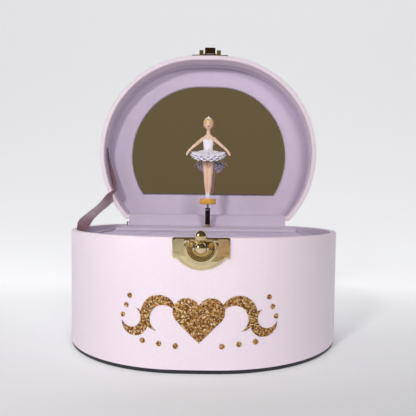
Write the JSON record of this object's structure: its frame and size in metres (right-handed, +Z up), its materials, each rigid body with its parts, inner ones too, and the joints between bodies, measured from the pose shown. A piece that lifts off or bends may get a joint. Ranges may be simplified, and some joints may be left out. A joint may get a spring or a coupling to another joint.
{
  "type": "wind-up music box",
  "caption": "D-shaped leatherette box with a mirrored hinged lid, a turning figure on a sprung fold-down post, ring rolls, side wells, a snap latch and a key-wound movement.",
  "frame": {"origin": "on the underside of the black base board, on the centre line and level with the widest line of the case", "axes": "+Z up, +X to the right seen from the front, +Y to the back (the hinge side)"},
  "size_m": [0.1598, 0.159, 0.1974],
  "materials": {
    "leatherette": "pale pink leatherette with a fine grain, satin",
    "lilac_lining": "lilac flocked paper lining, matt",
    "lilac_velvet": "lilac velvet over foam, matt with a soft sheen",
    "board": "grey-brown bookbinding board, matt",
    "black_board": "black paper-covered board, matt",
    "glitter": "copper-gold glitter film, sparkling",
    "brass_plate": "pale brass plating, polished",
    "steel": "plain bright steel",
    "dark_steel": "dark nickel-plated spring wire, polished",
    "movement_brass": "machined brass, satin",
    "movement_casting": "die-cast zinc alloy, satin",
    "mirror_glass": "silvered glass, polished",
    "ribbon": "mauve satin ribbon",
    "disc_gold": "golden moulded plastic, glossy",
    "figure_skin": "moulded plastic, flesh tint, satin",
    "figure_white": "white moulded plastic, satin",
    "figure_hair": "moulded plastic, fair hair tint, satin",
    "skirt_net": "white-lilac net, gathered"
  },
  "bodies": {
    "case": {"base_board": "black_board", "case_floor": "board", "case_shell": "board", "case_cover": "leatherette", "case_lining": "lilac_lining", "well_dividers": "lilac_lining", "tray_board": "board", "deck": "lilac_lining", "ring_roll_front": "lilac_velvet", "ring_roll_middle": "lilac_velvet", "ring_roll_back": "lilac_velvet", "deck_bush": "brass_plate", "glitter_motif": "glitter", "lock_plate": "brass_plate", "lock_boss": "brass_plate", "lock_pin": "steel", "lock_spring": "steel", "case_nails": "brass_plate", "hinge_leaves_case": "brass_plate", "hinge_pins": "steel", "hinge_strip": "lilac_lining", "ribbon_stay": "ribbon", "movement_frame": "movement_casting", "movement_screws": "steel", "comb": "steel", "comb_screws": "steel", "spring_barrel": "movement_casting", "mainspring": "steel", "key_bush": "brass_plate", "wire_guide": "steel", "post_spring": "dark_steel"},
    "lid": {"lid_shell": "board", "lid_cover": "leatherette", "lid_lining": "lilac_lining", "lid_panel": "lilac_lining", "mirror": "mirror_glass", "hinge_leaves_lid": "brass_plate", "lid_nails": "brass_plate", "hasp_plate": "brass_plate", "hasp_pin": "steel"},
    "tongue": {"hasp_tongue": "brass_plate"},
    "latch": {"latch_ball": "brass_plate"},
    "key": {"winding_key": "brass_plate", "winding_arbor": "steel", "main_wheel": "movement_brass"},
    "cylinder": {"pinned_cylinder": "movement_brass", "cylinder_arbor": "movement_brass"},
    "governor": {"governor_wheel": "movement_brass"},
    "brake": {"air_brake": "movement_brass"},
    "spindle": {"turntable_spindle": "movement_brass"},
    "post": {"post_ferrule": "dark_steel"},
    "figure": {"figure_stem": "steel", "stand_disc": "disc_gold", "figure_body": "figure_skin", "figure_bodice": "figure_white", "figure_skirt": "skirt_net", "figure_hair": "figure_hair", "figure_tiara": "figure_white"},
    "stop": {"stop_wire": "steel"}
  },
  "joints": [
    {"name": "lid_hinge", "type": "hinge", "parent": "case", "child": "lid", "pos_m": [0, 0.0508, 0.067], "axis": [1, 0, 0], "range_deg": [0, 93], "deforming": ["hinge_strip", "ribbon_stay"]},
    {"name": "tongue_hinge", "type": "hinge", "parent": "lid", "child": "tongue", "pos_m": [0.0004, 0.06086, 0.19204], "axis": [1, 0, 0], "range_deg": [0, 90]},
    {"name": "latch_press", "type": "hinge", "parent": "case", "child": "latch", "pos_m": [0.0008, -0.07799, 0.0607], "axis": [1, 0, 0], "range_deg": [0, 15], "stiffness_Nm_per_rad": 0.02},
    {"name": "cylinder_spin", "type": "hinge", "parent": "case", "child": "cylinder", "pos_m": [-0.0128, 0.036, 0.04], "axis": [0, 0, 1], "continuous": true},
    {"name": "key_spin", "type": "hinge", "parent": "case", "child": "key", "pos_m": [-0.0128, 0.04, 0.0185], "axis": [0, 1, 0], "continuous": true},
    {"name": "governor_spin", "type": "hinge", "parent": "case", "child": "governor", "pos_m": [-0.0239, 0.036, 0.053], "axis": [0, 0, 1], "continuous": true},
    {"name": "brake_spin", "type": "hinge", "parent": "case", "child": "brake", "pos_m": [-0.033, 0.036, 0.047], "axis": [0, 0, 1], "continuous": true},
    {"name": "spindle_spin", "type": "hinge", "parent": "case", "child": "spindle", "pos_m": [0.0005, 0.036, 0.06], "axis": [0, 0, 1], "continuous": true},
    {"name": "post_fold", "type": "hinge", "parent": "case", "child": "post", "pos_m": [0.0005, 0.036, 0.0733], "axis": [1, 0, 0], "range_deg": [0, 90], "deforming": ["post_spring", "figure_skirt"]},
    {"name": "figure_spin", "type": "hinge", "parent": "post", "child": "figure", "pos_m": [0.0005, 0.036, 0.078], "axis": [0, 0, 1], "continuous": true},
    {"name": "stop_slide", "type": "slide", "parent": "case", "child": "stop", "axis": [0, 0, 1], "range_m": [-0.0018, 0]}
  ],
  "couplings": [
    {"joint": "key_spin", "follows": "cylinder_spin", "ratio": 0.25},
    {"joint": "governor_spin", "follows": "cylinder_spin", "ratio": -4},
    {"joint": "brake_spin", "follows": "cylinder_spin", "ratio": 14},
    {"joint": "spindle_spin", "follows": "cylinder_spin", "ratio": -2},
    {"joint": "figure_spin", "follows": "cylinder_spin", "ratio": -2},
    {"joint": "post_fold", "follows": "lid_hinge", "ratio": 0.96774},
    {"joint": "stop_slide", "follows": "lid_hinge", "m_per_rad": -0.001109}
  ]
}
